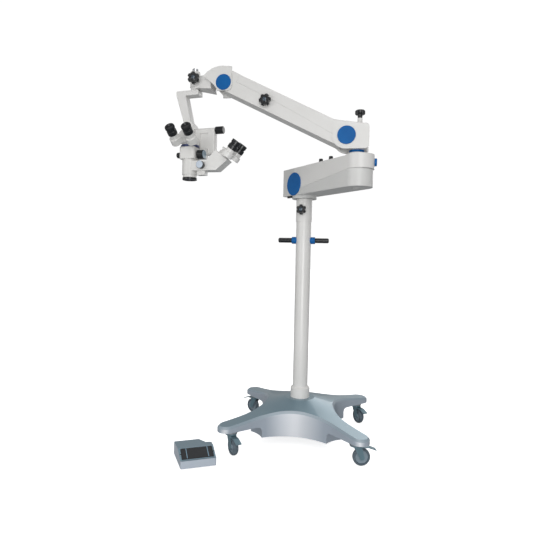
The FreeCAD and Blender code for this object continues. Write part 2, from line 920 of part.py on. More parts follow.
discs = []
for side, name in [(-1, "near"), (1, "far")]:
    at = LOWER * move(size.box_disc_at, half_box * side, size.box_disc_z) * spin(-side * QUARTER, (1, 0, 0))
    disc = solid_of_turn("arm_box_disc_" + name, at, [
        (0, 0), (size.box_disc_radius, 0), (size.box_disc_radius, size.disc_thick - 1),
        (size.box_disc_radius - 1, size.disc_thick), (0, size.disc_thick),
    ])
    discs.append(disc)
at = LOWER * move(size.box_round_at, 0, size.end_cap_z) * spin(size.end_cap_turn) * OUT_X
discs.append(seated_disc("arm_box_end_cap", at, size.end_cap_radius, half_box - 8,
                         half_box + size.end_cap_out, half_box + size.shaft_gap))
keep(group("arm_box_discs", discs))

for name, dial_x in zip(["power_dial", "brightness_dial"], dial_places):
    at = LOWER * move(dial_x, -size.dial_side, size.box_height + size.face_gap)
    keep(solid_of_turn(name, at, [
        (0, -size.box_wall), (dial_shaft, -size.box_wall), (dial_shaft, 0), (size.dial_radius, 0),
        (size.dial_radius - 1, size.dial_height - 1.5), (size.dial_radius - 2.5, size.dial_height),
        (0, size.dial_height),
    ]))
sockets = []
for name, socket_x in [("outer", -58), ("inner", -41)]:
    at = LOWER * move(socket_x, -54, 0)
    sockets.append(tube("socket_" + name, at, size.socket_radius, size.socket_radius - 2.5, -size.socket_drop, 0))
keep(group("box_sockets", sockets))
power = keep(new_body("power_unit", LOWER))
power_plan = box_outline(size.power_at, size.power_at + size.power_length, -size.power_width / 2, size.power_width / 2)
pad(power, outline(power, "XY", power_plan, size.box_wall), size.power_height)
soften(power, 4, straight("z"))

# Rear swivel: ring, forked housing on a spindle, its pivot pin and its lock
REAR = LOWER * move(size.lower_arm_reach, 0, size.box_height) * spin(size.upper_arm_turn - size.lower_arm_turn)
keep(tube("rear_swivel_ring", REAR, size.swivel_ring_radius, size.swivel_radius + size.face_gap,
          size.neck_rise, size.swivel_rise - size.face_gap))
rear = keep(new_body("rear_housing", REAR))
corner = size.rear_corner
rear_side = [
    (-size.rear_back + corner, size.swivel_rise), (size.rear_pivot_x, size.swivel_rise, size.rear_jaw),
    (size.rear_front, size.rear_pivot_z), (size.rear_front, size.rear_high_top - 12, 12),
    (size.rear_front - 12, size.rear_high_top - 1.5), (-size.rear_back + corner, size.rear_low_top, corner),
    (-size.rear_back, size.rear_low_top - corner), (-size.rear_back, size.swivel_rise + corner, corner),
]
pad(rear, outline(rear, "XZ", rear_side), size.rear_width, both=True)
soften(rear, 6, lambda edge: edge.BoundBox.YLength < 1 and edge.BoundBox.XLength > 100 and edge.BoundBox.ZMin > 100)
arm_slot = size.arm_width + size.face_gap * 2
arm_sweep = size.arm_half_height + size.arm_drop_rear
pocket(rear, circle(rear, "XZ", arm_sweep, size.rear_pivot_x, size.rear_pivot_z), arm_slot, both=True)
mouth = box_outline(size.rear_pivot_x - 24, size.rear_front + 5, size.swivel_rise - 5, size.rear_high_top + 5)
pocket(rear, outline(rear, "XZ", mouth), arm_slot, both=True)
pad(rear, circle(rear, "XY", size.swivel_radius, offset=-size.swivel_depth), size.swivel_depth + size.swivel_rise + 3)
rod_z = size.rear_pivot_z + size.rod_offset
rear_lug = [
    (-size.rear_back + 10, rod_z - size.lug_round), (size.rear_pivot_x, rod_z - size.lug_round, size.lug_round),
    (size.rear_pivot_x + size.lug_round, rod_z, size.lug_round), (size.rear_pivot_x, rod_z + size.lug_round),
    (-size.rear_back + 10, rod_z + size.lug_round),
]
pad(rear, outline(rear, "XZ", rear_lug), size.lug_width, both=True)
rod_bore = size.rod_pin + size.shaft_gap
pocket(rear, circle(rear, "XZ", rod_bore, size.rear_pivot_x, rod_z), size.lug_width + 2, both=True)
pin_bore = size.pivot_radius + size.shaft_gap
pocket(rear, circle(rear, "XZ", pin_bore, size.rear_pivot_x, size.rear_pivot_z), size.rear_width + 2, both=True)
boss_sketch = circle(rear, "XY", size.rear_boss_radius, -size.rear_knob_x, 0, size.rear_low_top - 10)
pad(rear, boss_sketch, size.rear_boss_top - size.rear_low_top + 10)
drill(rear, "XY", size.knob_stud + size.shaft_gap, size.rear_boss_top + 1, 22, -size.rear_knob_x)


def pivot_pin(label, place, width, disc_radius):
    """A pin through both cheeks with a disc over each end, about its own Z."""
    half = width / 2
    out = half + size.disc_thick
    return solid_of_turn(label, place, [
        (0, -out), (disc_radius - 1, -out), (disc_radius, -out + 1), (disc_radius, -half),
        (size.pivot_radius, -half), (size.pivot_radius, half), (disc_radius, half),
        (disc_radius, out - 1), (disc_radius - 1, out), (0, out),
    ])


keep(pivot_pin("rear_pivot_pin", REAR * move(size.rear_pivot_x, 0, size.rear_pivot_z) * OUT_FRONT,
               size.rear_width, size.rear_disc_radius))
keep(star_knob("rear_lock_knob", REAR * move(-size.rear_knob_x, 0, size.rear_boss_top + size.face_gap),
               size.rear_knob, 16, 20))

# Spring arm: lower shell with both bearings, upper cover, and the gas spring and rod inside
ARM = REAR * move(size.rear_pivot_x, 0, size.rear_pivot_z) * spin(size.arm_pitch, (0, -1, 0))
arm_shift = size.arm_drop_rear + size.arm_rise_front
arm_run = root(size.arm_length * size.arm_length + arm_shift * arm_shift)
arm_slope = arm_shift / size.arm_length


def stadium(radius):
    """Side view of the arm: two round ends joined by straight flanks."""
    across = radius * arm_shift / arm_run
    up = radius * size.arm_length / arm_run
    low, high, far = -size.arm_drop_rear, size.arm_rise_front, size.arm_length
    return [
        (across, low - up), (far + across, high - up, radius), (far + up, high + across, radius),
        (far - across, high + up), (-across, low + up, radius), (-up, low - across, radius),
    ]


def top_at(x, wall=0):
    """Height of the arm's upper flank at a place along it."""
    return x * arm_slope - size.arm_drop_rear + (size.arm_half_height - wall) * arm_run / size.arm_length


def floor_at(x):
    """Height half-way through the arm's lower wall at a place along it."""
    reach = size.arm_half_height - size.arm_wall / 2
    return x * arm_slope - size.arm_drop_rear - reach * arm_run / size.arm_length


lid_end = size.arm_length - size.lid_front
inner_width = size.arm_width - size.arm_wall * 2
shell = keep(new_body("spring_arm_body", ARM))
pad(shell, outline(shell, "XZ", stadium(size.arm_half_height)), size.arm_width, both=True)
pocket(shell, outline(shell, "XZ", stadium(size.arm_half_height - size.arm_wall)), inner_width, both=True)
rear_mouth = [(-70, -70), (10, -70), (15, 70), (-70, 70)]
pocket(shell, outline(shell, "XZ", rear_mouth), inner_width, both=True)
front_edge = size.arm_length - 8
front_mouth = box_outline(front_edge, size.arm_length + 70, -70, 80)
pocket(shell, outline(shell, "XZ", front_mouth), inner_width, both=True)
for pivot_x in [0, size.arm_length]:
    pad(shell, circle(shell, "XZ", size.bush_radius, pivot_x), size.arm_width, both=True)
    pocket(shell, circle(shell, "XZ", size.bush_radius + 1, pivot_x), size.lug_width * 2, both=True)
    pocket(shell, circle(shell, "XZ", pin_bore, pivot_x), size.arm_width + 2, both=True)
lid_window = [
    (size.lid_rear, size.crease_rear, -size.crease_radius), (lid_end, size.crease_front),
    (lid_end, 90), (size.lid_rear, 90),
]
pocket(shell, outline(shell, "XZ", lid_window), size.arm_width + 2, both=True)
spring_low, spring_high = size.spring_rear, size.spring_front
for rib_x in [spring_low - size.rib_thick, spring_high]:
    rib = box_outline(rib_x, rib_x + size.rib_thick, floor_at(rib_x), 4)
    pad(shell, outline(shell, "XZ", rib), inner_width - 1, both=True)
stud_bore = size.spring_stud + size.shaft_gap
for start in [spring_low - size.rib_thick - 1, spring_high - 1]:
    drill(shell, "YZ", stud_bore, start, size.rib_thick + 2, 0, -size.spring_drop, back=True)
wall_out = size.arm_width / 2
knob_hole = circle(shell, "XZ", size.knob_stud + size.shaft_gap, size.arm_knob_x, size.arm_knob_z, -wall_out - 1)
pocket(shell, knob_hole, size.arm_wall + 2, back=True)

cover = keep(new_body("spring_arm_cover", ARM))
cover_start, cover_end = size.lid_rear + size.seam, lid_end - size.seam
cover_side = [
    (cover_start, size.crease_rear + size.seam, -size.crease_radius), (cover_end, size.crease_front + size.seam),
    (cover_end, top_at(cover_end)), (cover_start, top_at(cover_start)),
]
pad(cover, outline(cover, "XZ", cover_side), size.arm_width, both=True)
soften(cover, 6, lambda edge: edge.BoundBox.XLength > 100 and edge.BoundBox.ZMin > 30)
cover_room = [
    (cover_start - 5, -80), (cover_end + 5, -80), (cover_end + 5, top_at(cover_end + 5, size.arm_wall)),
    (cover_start - 5, top_at(cover_start - 5, size.arm_wall)),
]
pocket(cover, outline(cover, "XZ", cover_room), inner_width, both=True)

spring = keep(solid_of_turn("balance_spring", ARM * move(0, 0, -size.spring_drop) * OUT_X, [
    (0, spring_low - size.rib_thick - 6), (size.spring_stud, spring_low - size.rib_thick - 6),
    (size.spring_stud, spring_low), (size.spring_radius, spring_low), (size.spring_radius, spring_high),
    (size.spring_stud, spring_high), (size.spring_stud, spring_high + size.rib_thick + 6),
    (0, spring_high + size.rib_thick + 6),
]))
keep(star_knob("arm_lock_knob", ARM * move(size.arm_knob_x, wall_out + size.face_gap, size.arm_knob_z)
               * spin(-QUARTER, (1, 0, 0)), size.arm_knob, 6, size.arm_wall + 4))

ROD = REAR * move(size.rear_pivot_x, 0, rod_z) * spin(size.arm_pitch, (0, -1, 0))
rod = keep(new_body("parallel_rod", ROD))
ear_in = size.lug_width + size.face_gap * 2
ear_out = ear_in + size.ear_thick * 2
fork_end = size.lug_round * 3
round_ = size.lug_round
far = size.arm_length
for ear in [
    [(0, -round_), (fork_end, -round_), (fork_end, round_), (0, round_, round_), (-round_, 0, round_)],
    [(far - fork_end, -round_), (far, -round_, round_), (far + round_, 0, round_), (far, round_),
     (far - fork_end, round_)],
]:
    pad(rod, outline(rod, "XZ", ear), ear_out, both=True)
bar = circle(rod, "YZ", size.rod_radius, offset=fork_end - 4)
pad(rod, bar, size.arm_length - fork_end * 2 + 8)
for low_x, high_x in [(-round_ - 5, fork_end - 8), (far - fork_end + 8, far + round_ + 5)]:
    slot = box_outline(low_x, high_x, -round_ - 5, round_ + 5)
    pocket(rod, outline(rod, "XZ", slot), ear_in, both=True)
for pin_x in [0, far]:
    pad(rod, circle(rod, "XZ", size.rod_pin, pin_x), ear_out, both=True)

# Front knuckle: forked housing that stays level, its pivot pin, lug and lock
rise = size.arm_length * sine(size.arm_pitch)
run = size.arm_length * cosine(size.arm_pitch)
FRONT = REAR * move(size.rear_pivot_x + run, 0, size.rear_pivot_z + rise)
front = keep(new_body("front_housing", FRONT))
cheek = [
    (-size.front_back, -15, 19), (-20, -size.front_low), (31, -size.front_low), (31, -26.5, -size.front_seam_radius),
    (90, 27), (size.front_nose, 38, size.front_crown_radius), (8, size.front_crown),
    (-size.front_back, size.front_high),
]
pad(front, outline(front, "XZ", cheek), size.front_width, both=True)
block_plan = [
    (55, -size.block_half_width), (size.spindle_reach, -size.lug_radius, size.lug_radius),
    (size.spindle_reach + size.lug_radius, 0, size.lug_radius), (size.spindle_reach, size.lug_radius),
    (55, size.block_half_width),
]
block_high = size.block_top + size.block_bottom
pad(front, outline(front, "XY", block_plan, -size.block_bottom), block_high)
under = [(31, -60), (220, -60), (220, -size.block_tail), (118, -size.block_tail), (31, -size.block_bottom)]
pocket(front, outline(front, "XZ", under), size.front_width + 10, both=True)
pad(front, circle(front, "XY", size.lug_radius, size.spindle_reach), size.lug_top)
knob_turn = move(size.spindle_reach, size.front_knob_z) * spin(size.front_knob_turn, (0, 1, 0))
knob_boss = circle(front, "XZ", size.front_boss_radius, turn=knob_turn * move(z=-size.front_boss_out))
pad(front, knob_boss, size.front_boss_out - size.spindle_radius - 4)
collar_room = circle(front, "XY", size.bracket_collar + 4, size.spindle_reach, 0, -60)
pocket(front, collar_room, 60, back=True)
pocket(front, circle(front, "XZ", size.front_cavity), arm_slot, both=True)
rear_mouth = box_outline(-70, 28, -60, 90)
pocket(front, outline(front, "XZ", rear_mouth), arm_slot, both=True)
rod_rise = size.rod_offset
front_lug = [
    (-round_, rod_rise, round_), (0, rod_rise - round_), (66, rod_rise - round_), (66, rod_rise + round_),
    (0, rod_rise + round_, round_),
]
pad(front, outline(front, "XZ", front_lug), size.lug_width, both=True)
pocket(front, circle(front, "XZ", size.rod_pin + size.open_pivot_gap, 0, rod_rise), size.lug_width + 2, both=True)
pocket(front, circle(front, "XZ", pin_bore), size.front_width + 2, both=True)
spindle_bore = size.spindle_radius + size.shaft_gap
drill(front, "XY", spindle_bore, size.lug_top + 1, size.lug_top + size.block_bottom + 40, size.spindle_reach)
knob_side = circle(front, "XZ", size.knob_stud + size.shaft_gap, turn=knob_turn * move(z=-40))
pocket(front, knob_side, 40, back=True)
keep(pivot_pin("front_pivot_pin", FRONT * OUT_FRONT, size.front_width, size.front_disc_radius))
front_seat = size.front_boss_out + size.face_gap
knob_turn = spin(size.front_knob_turn) * move(0, front_seat, 0) * spin(-QUARTER, (1, 0, 0))
keep(star_knob("front_lock_knob", FRONT * move(size.spindle_reach, 0, size.front_knob_z) * knob_turn,
               size.front_knob, 8,
               front_seat - size.spindle_radius - size.face_gap))

# Drop bracket: chrome spindle in the lug, crossbar, leg and the tilt eye with its pin
HEAD = FRONT * move(size.spindle_reach) * spin(size.head_turn - size.upper_arm_turn)
head_low = size.lug_top + size.face_gap
keep(solid_of_turn("drop_spindle", HEAD, [
    (0, size.bar_top - 18), (size.spindle_radius, size.bar_top - 18), (size.spindle_radius, head_low),
    (size.spindle_head, head_low), (size.spindle_head, size.spindle_top - 3),
    (size.spindle_head - 3, size.spindle_top), (0, size.spindle_top),
]))
bracket = keep(new_body("drop_bracket", HEAD))
bar_low = size.bar_top - size.bar_height
carrier_left = size.optical_side - size.face_gap
leg = [
    (-size.bar_left, size.bar_top), (-size.leg_left, bar_low), (-size.leg_knee, -size.leg_knee_drop),
    (-size.leg_end_left, -size.tilt_drop), (carrier_left, -size.tilt_drop), (carrier_left, -size.leg_knee_drop - 18),
    (-size.leg_knee_right, -size.leg_knee_drop), (-size.leg_inner, bar_low), (size.bar_right, bar_low),
    (size.bar_right, size.bar_top),
]
mid_depth = size.bracket_back
leg_sketch = outline(bracket, "XZ", leg, -mid_depth)
pad(bracket, leg_sketch, size.bracket_depth, both=True)
soften(bracket, 5, lambda edge: edge.BoundBox.YLength < 1 and edge.BoundBox.ZLength > 100
       or straight("y")(edge) and edge.BoundBox.ZMin > float(bar_low) - 5 and edge.BoundBox.ZMin > -20)
eye = circle(bracket, "YZ", size.bracket_depth / 2, mid_depth, -size.tilt_drop, -size.leg_end_left)
pad(bracket, eye, size.leg_end_left + carrier_left)
collar = circle(bracket, "XY", size.bracket_collar, offset=size.bar_top - 1)
pad(bracket, collar, -size.bar_top - size.face_gap * 2 + 1)
drill(bracket, "XY", spindle_bore, 5, 5 - size.bar_top + 19)
pin = circle(bracket, "YZ", size.tilt_pin, mid_depth, -size.tilt_drop, carrier_left - 5)
pad(bracket, pin, size.tilt_pin_length + 5)

# Carrier: tilts on the bracket's pin and guides the microscope up and down for focus
OPTIC = HEAD * move(size.optical_side, -size.optical_front, -size.head_drop)
tilt_y = size.optical_front + size.bracket_back
tilt_z = size.head_drop - size.tilt_drop
carrier = keep(new_body("carrier", OPTIC))
carrier_side = [
    (0, size.carrier_low), (size.carrier_width, size.carrier_low), (size.carrier_width, size.carrier_high),
    (0, size.carrier_high), (0, size.wing_top), (-size.wing_out, size.wing_top), (-size.wing_foot, size.wing_low),
    (0, size.wing_low - 6),
]
front_face = size.carrier_front
carrier_depth = size.carrier_back - front_face
pad(carrier, outline(carrier, "XZ", carrier_side, -front_face), carrier_depth, back=True)
soften(carrier, 7, lambda edge: straight("y")(edge) and edge.BoundBox.XMax > 90)
soften(carrier, 10, both_of(straight("x"), lambda edge: edge.BoundBox.ZMin > 90))
track = box_outline(size.track_left, size.track_right, size.carrier_low - 5, size.track_top)
pocket(carrier, outline(carrier, "XZ", track, -front_face), size.track_depth)
drill(carrier, "YZ", size.tilt_pin + size.shaft_gap, -1, size.tilt_pin_length + 3, tilt_y, tilt_z, back=True)
drill(carrier, "YZ", size.tilt_shaft + size.shaft_gap, size.carrier_width + 1, size.tilt_shaft_length + 2,
      tilt_y, tilt_z)


def side_knob(label, place, radius, length, shaft, depth):
    """A round knob on a short shaft; its own +Z points out of the face it sits on."""
    body = solid_of_turn(label, place, [
        (0, -depth), (shaft, -depth), (shaft, 0), (radius - 1.5, 0), (radius, 1.5), (radius, length - 2),
        (radius - 2, length), (0, length),
    ])
    groove = circle(body, "XY", 1.6, radius + 0.4, 0, 3)
    cut = pocket(body, groove, length - 6, back=True)
    ring_of(body, cut, 18)
    return body


keep(side_knob("tilt_knob", OPTIC * move(size.carrier_width + size.face_gap, tilt_y, tilt_z) * OUT_X,
               size.tilt_knob_radius, size.tilt_knob_length, size.tilt_shaft, size.tilt_shaft_length))

# Microscope body: zoom housing, barrel and objective, with its dovetail tongue in the carrier
scope = keep(new_body("microscope_body", OPTIC))
half = size.body_half
body_plan = box_outline(-half, half, -half, size.body_back)
pad(scope, outline(scope, "XY", body_plan, -size.body_height), size.body_height)
soften(scope, size.body_round, straight("z"))
soften(scope, 3, level("z", 0))
pad(scope, circle(scope, "XY", size.barrel_radius, offset=-size.barrel_low), size.barrel_low - size.body_height + 5)
pad(scope, circle(scope, "XY", size.nose_radius, offset=-size.nose_low), size.nose_low - size.barrel_low + 5)
tongue = box_outline(size.track_left + size.face_gap, size.track_right - size.face_gap, size.tongue_back,
                     front_face + size.track_depth - size.face_gap)
pad(scope, outline(scope, "XY", tongue, size.tongue_low), -size.tongue_low)
drill(scope, "XY", size.light_bore, -size.nose_low - 1, size.nose_low - 10, back=True)
drill(scope, "XY", size.ring_bore, 1, 20)
zoom_bore = size.zoom_shaft + size.shaft_gap
drill(scope, "YZ", zoom_bore, half + 1, size.zoom_shaft_depth + 2, 0, -size.zoom_drop)
drill(scope, "YZ", zoom_bore, -half - 1, size.zoom_shaft_depth + 2, 0, -size.zoom_drop, back=True)

objective_top = -size.nose_low
objective_low = objective_top - size.objective_height
keep(solid_of_turn("objective_ring", OPTIC, [
    (size.objective_bore, objective_low), (size.objective_radius - 1, objective_low),
    (size.objective_radius, objective_low + 1), (size.objective_radius, objective_top),
    (size.lens_seat, objective_top), (size.lens_seat, objective_low + size.lens_lip),
    (size.objective_bore, objective_low + size.lens_lip),
]))
lens_edge = size.lens_seat - size.face_gap
lens_low = objective_low + size.lens_lip
bulge = size.lens_bulge
lens_curve = (lens_edge * lens_edge / bulge + bulge) / 2
keep(solid_of_turn("objective_lens", OPTIC, [
    (0, lens_low), (lens_edge, lens_low), (lens_edge, lens_low + size.lens_thick - bulge, lens_curve),
    (0, lens_low + size.lens_thick),
]))
keep(solid_of_turn("binocular_ring", OPTIC, [
    (size.ring_bore, 0), (size.ring_radius - 1.5, 0), (size.ring_radius, 1.5),
    (size.ring_radius, size.ring_height - 1.5), (size.ring_radius - 1.5, size.ring_height),
    (size.ring_bore, size.ring_height),
]))
zoom = []
for name, side, radius, out in [("right", 1, size.zoom_knob_radius, size.zoom_knob_out),
                                ("left", -1, size.zoom_small_radius, size.zoom_small_out)]:
    at = OPTIC * move((half + size.face_gap) * side, 0, -size.zoom_drop) * spin(side * QUARTER, (0, 1, 0))
    zoom.append(side_knob("zoom_knob_" + name, at, radius, out - half - size.face_gap, size.zoom_shaft,
                          size.zoom_shaft_depth))
keep(group("zoom_knobs", zoom))


# Binocular tubes: two prism arms that fold about one drum to set the eye spacing
eye_reach = root(size.eye_half_spacing * size.eye_half_spacing + size.eye_drop * size.eye_drop)
eye_angle = math.degrees(math.atan2(float(size.eye_drop), float(size.eye_half_spacing)))


def prism_arm(label, place, start, end, sleeve_end, lower_plate, bore_down=0):
    """One prism arm along its own X, with a hinge plate round the drum and an eyepiece sleeve."""
    body = new_body(label, place)
    ring_in = size.drum_radius + size.face_gap
    ring_out = ring_in + size.hinge_wall
    plate = size.hinge_plate
    arm = [
        (size.drum_radius - 6, -size.arm_half), (eye_reach, -size.prism_round, size.prism_round),
        (eye_reach + size.prism_round, 0, size.prism_round), (eye_reach, size.prism_round),
        (size.drum_radius - 6, size.arm_half),
    ]
    pad(body, outline(body, "XY", arm, start), end - start)
    soften(body, 3, both_of(level("z", end), lambda edge: edge.BoundBox.XMax > 40))
    plate_at = start if lower_plate else end - plate
    other_at = end - plate if lower_plate else start
    pad(body, circle(body, "XY", ring_out, offset=plate_at), plate)
    room = circle(body, "XY", ring_out + size.face_gap, offset=other_at - size.face_gap)
    pocket(body, room, plate + size.face_gap * 2, back=True)
    pocket(body, circle(body, "XY", ring_in, offset=start - 1), end - start + 2, back=True)
    pad(body, circle(body, "XY", size.sleeve_radius_eye, eye_reach, 0, end - 1), sleeve_end - end + 1)
    pocket(body, circle(body, "XY", size.eye_bore, eye_reach, 0, sleeve_end + 1), size.eye_spigot + 6)
    return body


def eyepiece_profile(length, spigot):
    radius = size.eyepiece_radius
    return [
        (0, -spigot), (size.eye_bore - size.shaft_gap, -spigot), (size.eye_bore - size.shaft_gap, 0), (radius - 2, 0),
        (radius, 2), (radius, length * 0.45), (radius - 3, length * 0.5), (radius - 3, length * 0.62),
        (radius - 1, length * 0.66), (radius - 1, length - 1), (radius - 2, length), (radius - 6, length),
        (size.eye_bore, length - size.eye_cup), (0, length - size.eye_cup),
    ]


BINO = OPTIC * move(0, 0, size.hinge_rise) * spin(size.eye_incline, (1, 0, 0))
eye_base = keep(new_body("binocular_base", OPTIC))
foot_low = size.ring_height
foot_top = foot_low + size.foot_height_eye
pad(eye_base, circle(eye_base, "XY", size.foot_radius_eye, offset=foot_low), size.foot_height_eye)
face_reach = size.elbow_half_face
incline_cos, incline_sin = cosine(size.eye_incline), sine(size.eye_incline)
face_y = -size.drum_face * incline_sin
face_z = size.hinge_rise + size.drum_face * incline_cos
elbow = [
    (size.elbow_back, foot_top - 1), (size.elbow_back, size.elbow_back_z),
    (face_y + face_reach * incline_cos, face_z + face_reach * incline_sin),
    (face_y - face_reach * incline_cos, face_z - face_reach * incline_sin + 1),
    (face_y - face_reach * incline_cos + 4, foot_top - 1),
]
pad(eye_base, outline(eye_base, "YZ", elbow), size.elbow_half * 2, both=True)
soften(eye_base, 5, both_of(straight("x"), lambda edge: edge.BoundBox.ZMin > 40))
tilted = spin(size.eye_incline, (1, 0, 0))
drum_start = move(0, 0, size.hinge_rise) * tilted * move(0, 0, size.drum_face - 2)
drum = circle(eye_base, "XY", size.drum_radius, turn=drum_start)
pad(eye_base, drum, size.arm_end - size.drum_face + 2)
drill(eye_base, "XY", size.ring_bore, foot_low - 1, size.foot_height_eye + 4, back=True)
for name, angle, lower in [("left", 180 + eye_angle, True), ("right", -eye_angle, False)]:
    at = BINO * spin(angle)
    keep(prism_arm("eyepiece_tube_" + name, at, size.arm_start, size.arm_end, size.sleeve_end, lower))
    eye_at = at * move(eye_reach, 0, size.sleeve_end + size.face_gap)
    keep(solid_of_turn("eyepiece_" + name, eye_at, eyepiece_profile(size.eyepiece_length, size.eye_spigot)))

# Assistant side: beam splitter block on the barrel, and a second pair of tubes that turns on it
block = keep(new_body("assistant_block", OPTIC))
assistant_sin, assistant_cos = sine(size.assistant_incline), cosine(size.assistant_incline)
block_side = [
    (20, size.camera_low + 20), (size.assistant_low_x, size.assistant_low),
    (size.assistant_x + size.assistant_face * assistant_cos, -size.assistant_drop - size.assistant_face * assistant_sin),
    (size.assistant_x - size.assistant_face * assistant_cos, -size.assistant_drop + size.assistant_face * assistant_sin),
    (size.assistant_shelf_x, size.assistant_shelf_z), (size.assistant_neck_x, size.assistant_neck_z),
    (20, size.assistant_neck_z),
]
pad(block, outline(block, "XZ", block_side), size.assistant_depth * 2, both=True)
camera = box_outline(size.camera_left, size.camera_right, size.camera_low, size.assistant_low + 5)
camera_depth = size.camera_rear - size.camera_front
pad(block, outline(block, "XZ", camera, -size.camera_rear), camera_depth)
pocket(block, circle(block, "XY", size.barrel_radius + size.shaft_gap, offset=-150), 150, back=True)
spigot_turn = move(size.assistant_x, 0, -size.assistant_drop) * spin(size.assistant_incline, (0, 1, 0))
spigot_hole = circle(block, "XY", size.assistant_spigot + size.shaft_gap, turn=spigot_turn * move(0, 0, 1))
pocket(block, spigot_hole, size.spigot_depth + 2)
knob_z = -size.assistant_knob_drop
side_bore = size.assistant_shaft + size.shaft_gap
drill(block, "XZ", side_bore, size.assistant_depth + 1, 14, size.assistant_knob_x, knob_z)
keep(side_knob("assistant_knob", OPTIC * move(size.assistant_knob_x, -size.assistant_depth - size.face_gap, knob_z)
               * OUT_FRONT, size.assistant_knob_radius, size.assistant_knob_length, size.assistant_shaft, 11))

SIDE = OPTIC * spigot_turn
flange_top = size.assistant_flange_thick
side_face = size.drum_radius
keep(solid_of_turn("assistant_base", SIDE, [
    (0, -size.spigot_depth), (size.assistant_spigot, -size.spigot_depth), (size.assistant_spigot, size.face_gap),
    (size.assistant_flange, size.face_gap), (size.assistant_flange, flange_top), (side_face, flange_top),
    (side_face, size.assistant_arm_end), (0, size.assistant_arm_end),
]))
for name, angle, lower in [("left", 180 + eye_angle, True), ("right", -eye_angle, False)]:
    at = SIDE * spin(QUARTER) * spin(angle)
    tube_arm = prism_arm("assistant_tube_" + name, at, size.assistant_arm_start, size.assistant_arm_end,
                         size.assistant_sleeve_end, lower)
    low = size.assistant_sleeve_end
    lens = outline(tube_arm, "XZ", [
        (x, z + low) for x, z in eyepiece_profile(size.assistant_eyepiece, size.eye_spigot)
    ], turn=move(float(eye_reach), 0, 0))
    turned(tube_arm, lens)
    keep(tube_arm)

# Foot control: wedge-shaped case with rubber feet and a rocking plate
FOOT = move(size.pedal_x, size.pedal_y) * spin(size.pedal_turn)


def case_plan(inset=0):
    return [
        (inset, inset), (size.case_width - inset, inset), (size.case_width - inset, size.case_step),
        (size.case_corner - inset, size.case_step + inset + 4), (size.case_narrow - inset - 8, size.case_depth - inset),
        (-size.case_skew + inset, size.case_depth - inset),
    ]


case = keep(new_body("pedal_case", FOOT))
pad(case, outline(case, "XY", case_plan(), size.foot_height), size.case_ridge - size.foot_height)
over = [
    (-10, size.case_front), (10, size.case_front), (size.case_ridge_at, size.case_ridge),
    (size.case_depth + 10, size.case_rear), (size.case_depth + 10, 90), (-10, 90),
]
pocket(case, outline(case, "YZ", over), size.case_width * 3, both=True)
soften(case, 6, both_of(straight("z"), lambda edge: edge.BoundBox.ZLength > 20))
pocket(case, outline(case, "XY", case_plan(size.case_wall), size.foot_height), size.case_hollow, back=True)
panel_y = (size.case_ridge_at + 10) / 2
panel_z = (size.case_ridge + size.case_front) / 2
PANEL = move(size.case_width / 2, panel_y, panel_z) * spin(size.rocker_slope, (1, 0, 0))
half_x, half_y = size.rocker_width / 2, size.rocker_length / 2
recess = box_outline(-half_x - size.rocker_gap, half_x + size.rocker_gap, -half_y - size.rocker_gap,
                     half_y + size.rocker_gap)
pocket(case, outline(case, "XY", recess, turn=PANEL * move(z=1)), size.rocker_pocket + 1)
pin_reach = half_x + size.rocker_gap + size.pin_engage
pin_place = PANEL * move(0, 0, -size.rocker_axis) * OUT_X * move(0, 0, -float(pin_reach) - 1)
pocket(case, circle(case, "XY", size.rocker_pin + size.shaft_gap, turn=pin_place), pin_reach * 2 + 2, back=True)
inset = size.foot_inset
foot_spots = [
    (inset, inset), (size.case_width - inset, inset), (size.case_width - inset, size.case_step - inset),
    (inset - size.case_skew + 4, size.case_depth - inset),
]
feet = []
for number, (foot_x, foot_y) in enumerate(foot_spots, 1):
    boss = circle(case, "XY", size.foot_radius + 2, foot_x, foot_y, size.foot_height)
    pad(case, boss, size.case_hollow + 1)
    feet.append(solid_of_turn(f"pedal_foot_{number}", FOOT * move(foot_x, foot_y), [
        (0, 0), (size.foot_radius - 1.5, 0), (size.foot_radius, 1.5), (size.foot_radius, size.foot_height),
        (0, size.foot_height),
    ]))
keep(group("pedal_feet", feet))
rocker = keep(new_body("pedal_rocker", FOOT * PANEL * move(0, 0, -size.rocker_axis)))
plate_top = size.rocker_axis + size.rocker_rise
plate = outline(rocker, "XY", box_outline(-half_x, half_x, -half_y, half_y), plate_top - size.rocker_thick)
pad(rocker, plate, size.rocker_thick)
soften(rocker, 1.2, level("z", plate_top))
for side in (-1, 1):
    low_x = size.strip_at * side - size.strip_half
    strip = box_outline(low_x, low_x + size.strip_half * 2, -half_y + 2, half_y - 2)
    pad(rocker, outline(rocker, "XY", strip, plate_top - 1), size.strip_rise + 1)
pin = circle(rocker, "YZ", size.rocker_pin, offset=-pin_reach)
pad(rocker, pin, pin_reach * 2)

# Checks, then one file for each piece
doc.recompute()
broken = [obj.Label for obj in doc.Objects if "Invalid" in obj.State or "Error" in obj.State]
broken += [part.Label for part in NODES if part.Shape.isNull() or not part.Shape.isValid()]
if broken:
    raise RuntimeError("did not build: " + ", ".join(broken))
os.makedirs("parts", exist_ok=True)
for part in NODES:
    part.Shape.exportStep(f"parts/{part.Label}.step")
print(len(NODES), "pieces exported")
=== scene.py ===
import json
import math
import bmesh
import bpy
from mathutils import Matrix, Vector
from mathutils.bvhtree import BVHTree

